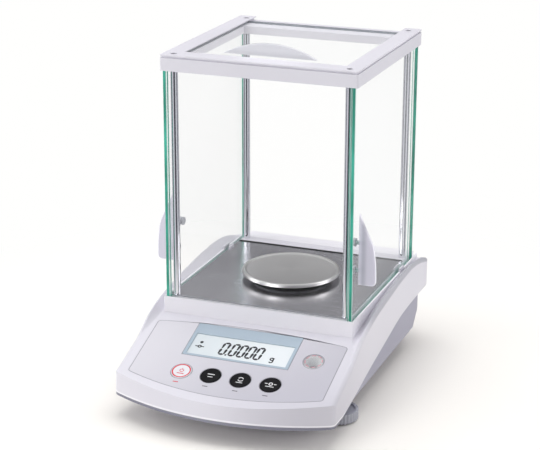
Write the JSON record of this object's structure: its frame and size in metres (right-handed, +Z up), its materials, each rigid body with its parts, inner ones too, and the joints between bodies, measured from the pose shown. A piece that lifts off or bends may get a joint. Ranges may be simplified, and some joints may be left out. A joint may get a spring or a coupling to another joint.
{
  "type": "analytical balance",
  "caption": "Analytical balance with a sliding glass draft shield, round steel pan, sloped keypad with display, and levelling feet.",
  "frame": {"origin": "on the bench, under the middle of the body's outline", "axes": "+Z up, the keypad faces -Y, +X to the right of someone using it, and the doors slide towards +Y"},
  "size_m": [0.205, 0.317, 0.3132],
  "materials": {
    "housing": "fine matt moulded plastic, off-white with a cool cast",
    "tray": "matt moulded plastic, blue-grey",
    "film": "satin printed film",
    "bezel": "satin moulded frame, pale blue",
    "lcd": "lit liquid-crystal panel behind glass",
    "light_key": "satin white key with a coloured ring",
    "dark_key": "satin black key",
    "clear_glass": "polished float glass with ground edges",
    "clear_plastic": "clear moulded acrylic",
    "vial_glass": "liquid-filled level",
    "post_steel": "bright drawn tube, polished",
    "floor_steel": "polished stainless sheet",
    "pan_steel": "satin stainless steel with a turned rim",
    "dark_plastic": "matt black plastic",
    "light_guide": "milky light guide",
    "screw_steel": "bright zinc plating",
    "cast_alloy": "machined aluminium",
    "board": "green solder mask",
    "brass": "turned brass",
    "rubber": "soft black rubber"
  },
  "bodies": {
    "base": {"top_housing": "housing", "chamber_base": "housing", "top_frame": "housing", "door_guides": "housing", "deck_strip": "housing", "base_tray": "tray", "keypad_film": "film", "display_bezel": "bezel", "lcd_panel": "lcd", "front_glass": "clear_glass", "rear_glass": "clear_glass", "level_window": "clear_plastic", "level_vial": "vial_glass", "front_left_post": "post_steel", "front_right_post": "post_steel", "rear_left_post": "post_steel", "rear_right_post": "post_steel", "floor_plate": "floor_steel", "connector_panel": "dark_plastic", "power_inlet": "dark_plastic", "level_holder": "dark_plastic", "backlight": "light_guide", "housing_screws": "screw_steel", "cap_screws": "screw_steel", "cell_screws": "screw_steel", "board_screws": "screw_steel", "pan_spindle": "screw_steel", "below_hook": "screw_steel", "serial_port": "screw_steel", "adc_shield": "screw_steel", "load_cell": "cast_alloy", "cell_mount": "cast_alloy", "main_board": "board", "display_board": "board", "foot_inserts": "brass", "rear_feet": "rubber", "glass_seals": "rubber", "key_mat": "rubber"},
    "left_door": {"left_door_glass": "clear_glass", "left_handle": "clear_plastic", "left_handle_fixings": "screw_steel"},
    "right_door": {"right_door_glass": "clear_glass", "right_handle": "clear_plastic", "right_handle_fixings": "screw_steel"},
    "top_door": {"top_door_glass": "clear_glass", "top_handle": "clear_plastic"},
    "support": {"pan_support": "dark_plastic", "support_pads": "rubber"},
    "pan": {"weighing_pan": "pan_steel"},
    "left_pad": {"left_foot_pad": "rubber"},
    "left_knob": {"left_foot_knob": "tray"},
    "right_pad": {"right_foot_pad": "rubber"},
    "right_knob": {"right_foot_knob": "tray"},
    "cover": {"hook_cover": "tray"},
    "slider": {"lock_slider": "dark_plastic"},
    "power_key": {"power_key": "light_key"},
    "print_key": {"print_key": "dark_key"},
    "mode_key": {"mode_key": "dark_key"},
    "tare_key": {"tare_key": "dark_key"}
  },
  "joints": [
    {"name": "left_door_slide", "type": "slide", "parent": "base", "child": "left_door", "axis": [0, 1, 0], "range_m": [0, 0.135]},
    {"name": "right_door_slide", "type": "slide", "parent": "base", "child": "right_door", "axis": [0, 1, 0], "range_m": [0, 0.135]},
    {"name": "top_door_slide", "type": "slide", "parent": "base", "child": "top_door", "axis": [0, 1, 0], "range_m": [0, 0.112]},
    {"name": "support_lift", "type": "slide", "parent": "base", "child": "support", "axis": [0, 0, 1], "range_m": [0, 0.012]},
    {"name": "pan_lift", "type": "slide", "parent": "support", "child": "pan", "axis": [0, 0, 1], "range_m": [0, 0.03]},
    {"name": "power_key_press", "type": "slide", "parent": "base", "child": "power_key", "axis": [0, 0.3289, -0.9444], "range_m": [0, 0.0006], "stiffness_N_per_m": 2500},
    {"name": "print_key_press", "type": "slide", "parent": "base", "child": "print_key", "axis": [0, 0.3289, -0.9444], "range_m": [0, 0.0006], "stiffness_N_per_m": 2500},
    {"name": "mode_key_press", "type": "slide", "parent": "base", "child": "mode_key", "axis": [0, 0.3289, -0.9444], "range_m": [0, 0.0006], "stiffness_N_per_m": 2500},
    {"name": "tare_key_press", "type": "slide", "parent": "base", "child": "tare_key", "axis": [0, 0.3289, -0.9444], "range_m": [0, 0.0006], "stiffness_N_per_m": 2500},
    {"name": "left_foot_lift", "type": "slide", "parent": "base", "child": "left_pad", "axis": [0, 0, -1], "range_m": [0, 0.004]},
    {"name": "left_foot_turn", "type": "hinge", "parent": "left_pad", "child": "left_knob", "pos_m": [-0.083, -0.0715, 0.005], "axis": [0, 0, 1], "range_deg": [-1440, 0]},
    {"name": "right_foot_lift", "type": "slide", "parent": "base", "child": "right_pad", "axis": [0, 0, -1], "range_m": [0, 0.004]},
    {"name": "right_foot_turn", "type": "hinge", "parent": "right_pad", "child": "right_knob", "pos_m": [0.083, -0.0715, 0.005], "axis": [0, 0, 1], "range_deg": [-1440, 0]},
    {"name": "cover_turn", "type": "hinge", "parent": "base", "child": "cover", "pos_m": [0.019, 0.0335, 0.014], "axis": [0, 0, 1], "range_deg": [0, 100]},
    {"name": "lock_slide", "type": "slide", "parent": "base", "child": "slider", "axis": [1, 0, 0], "range_m": [0, 0.004]}
  ],
  "couplings": [
    {"joint": "left_foot_lift", "follows": "left_foot_turn", "m_per_rad": -0.00015915},
    {"joint": "right_foot_lift", "follows": "right_foot_turn", "m_per_rad": -0.00015915}
  ]
}
